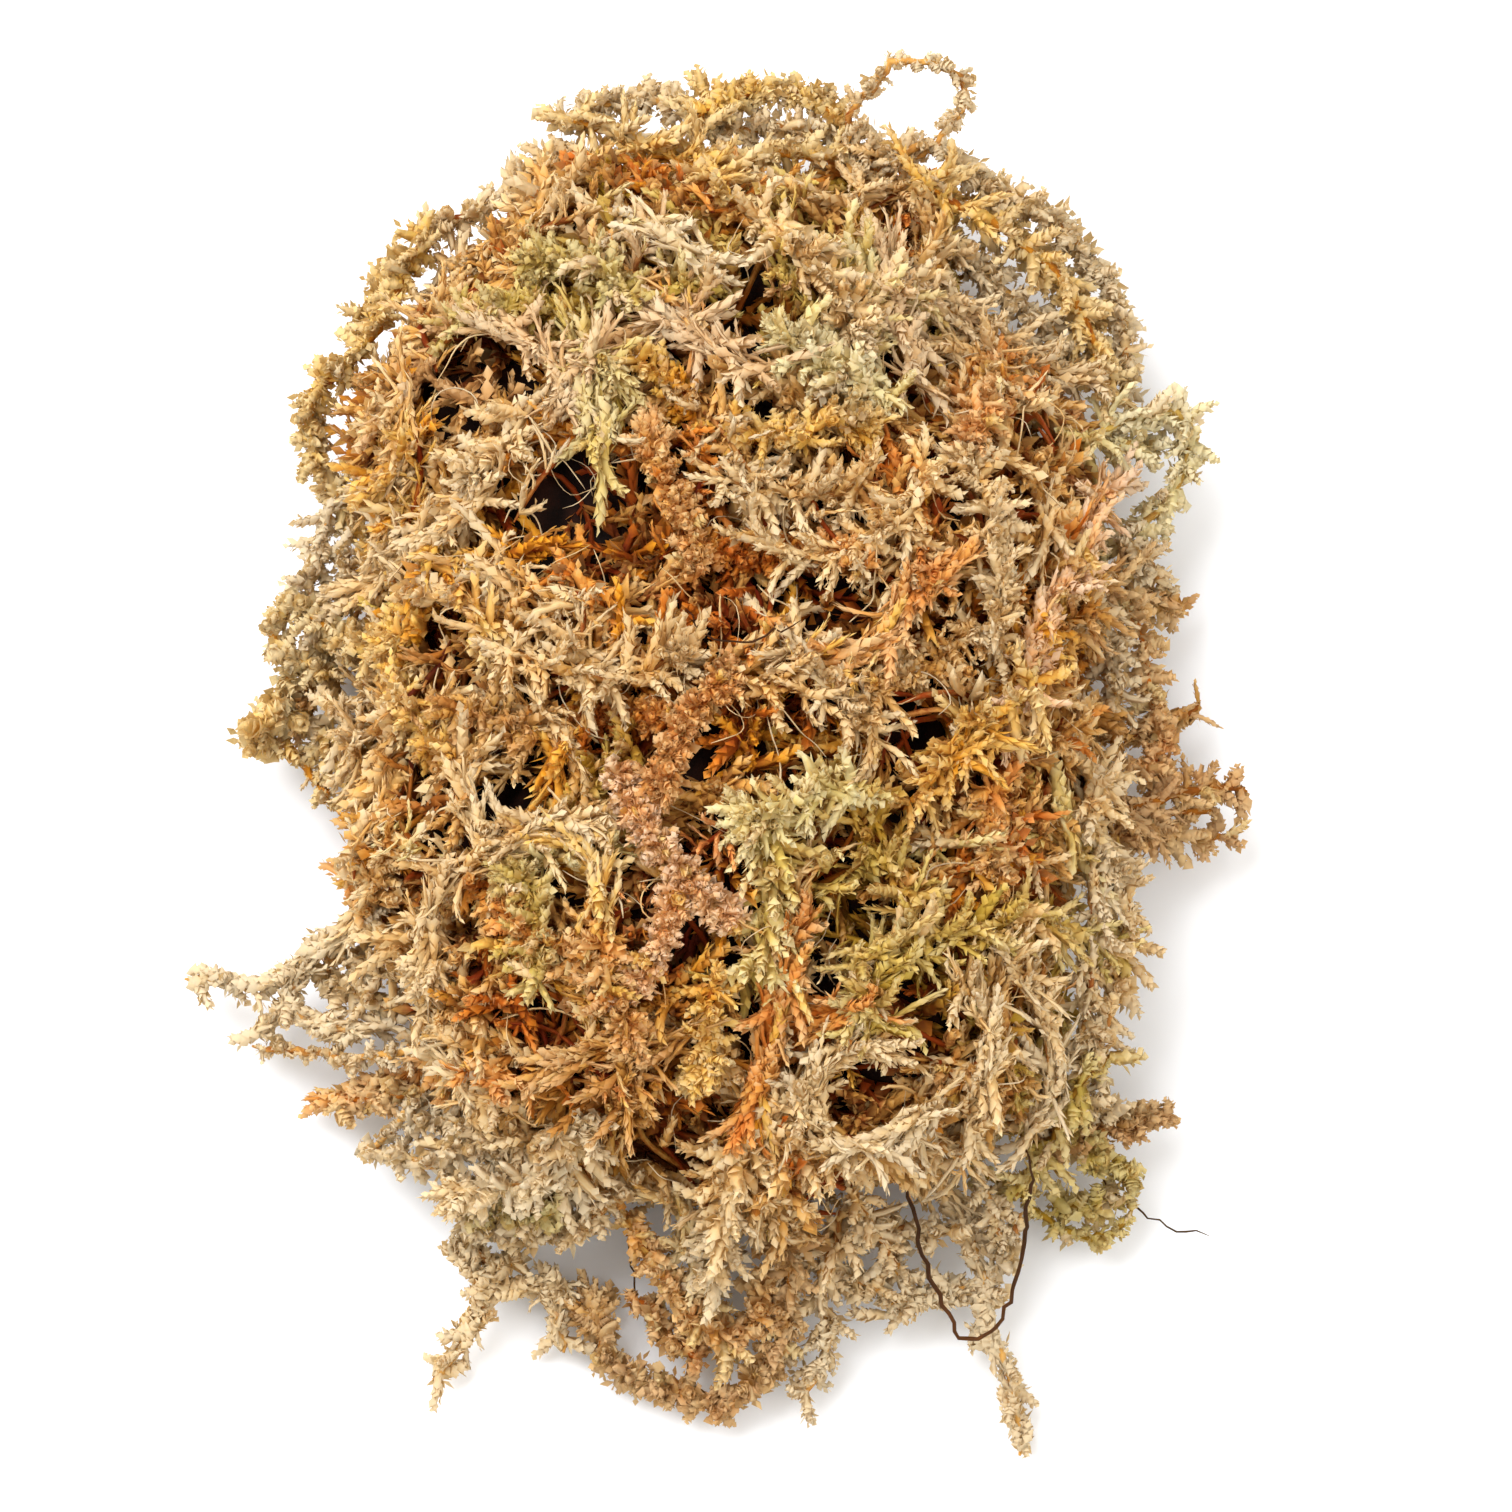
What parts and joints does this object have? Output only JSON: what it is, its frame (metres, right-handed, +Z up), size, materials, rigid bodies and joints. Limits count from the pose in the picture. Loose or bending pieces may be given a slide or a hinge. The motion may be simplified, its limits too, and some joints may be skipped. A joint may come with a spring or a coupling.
{
  "type": "sphagnum moss clump",
  "caption": "Loose, tangled heap of dried sphagnum moss: a matted heart under leafy strands that wander over it, hang down its sides and reach out past its edge.",
  "frame": {"origin": "middle of the small flat spot that the clump rests on, near the point under its weight", "axes": "+Z up, +Y along the clump's length towards the end with the loop, +X across it"},
  "size_m": [0.1628, 0.2138, 0.0614],
  "materials": {
    "heart": "matted dry moss, dull brown",
    "cream": "dry papery leaves, cream",
    "straw": "dry papery leaves, straw",
    "pale_green": "dry papery leaves, pale green",
    "olive": "dry papery leaves, olive-yellow",
    "gold": "dry papery leaves, golden",
    "rust": "dry papery leaves, orange-rust",
    "pink": "dry papery leaves, pinkish rust",
    "mauve": "dry papery leaves, grey-mauve",
    "brown": "dry papery leaves, brown",
    "root": "bare dark fibre"
  },
  "bodies": {
    "root": {"north_east_loop": "straw", "north_rim": "gold", "west_gold_rim": "gold", "olive_rosette": "olive", "olive_wave": "olive", "lilac_wedge": "mauve", "cream_north": "cream", "cream_mid": "pale_green", "gold_rosette": "gold", "stem_fall": "mauve", "east_straw": "straw", "orange_east": "rust", "tan_patch": "straw", "east_arc": "pink", "east_fan": "pale_green", "east_point": "brown", "east_flag": "brown", "east_cream": "cream", "east_spray": "brown", "east_leafy": "olive", "rust_column": "rust", "tan_rope": "straw", "cream_twig": "cream", "rust_bow": "rust", "straw_sweep": "straw", "rust_tuft": "rust", "pink_column": "pink", "gold_diagonal": "gold", "star_green": "pale_green", "straw_river": "straw", "olive_tuft": "olive", "rust_knot": "rust", "twisted_rope": "brown", "olive_river": "olive", "east_strand_low": "cream", "big_curl": "cream", "rust_seam": "rust", "west_loop": "gold", "west_straw": "straw", "west_gold_tuft": "gold", "south_west_reach": "cream", "brown_point": "rust", "pale_hook": "cream", "cream_fingers": "cream", "south_west_leg": "straw", "south_stray": "brown", "cream_fall": "cream", "south_tassel": "straw", "south_tip": "straw", "dark_loop": "root", "south_east_brown": "brown", "south_east_curl": "olive", "skirt_strand_1": "straw", "skirt_strand_2": "rust", "skirt_strand_3": "olive", "skirt_strand_4": "brown", "skirt_strand_5": "straw", "skirt_strand_6": "rust", "skirt_strand_7": "olive", "moss_heart": "heart"}
  },
  "joints": []
}
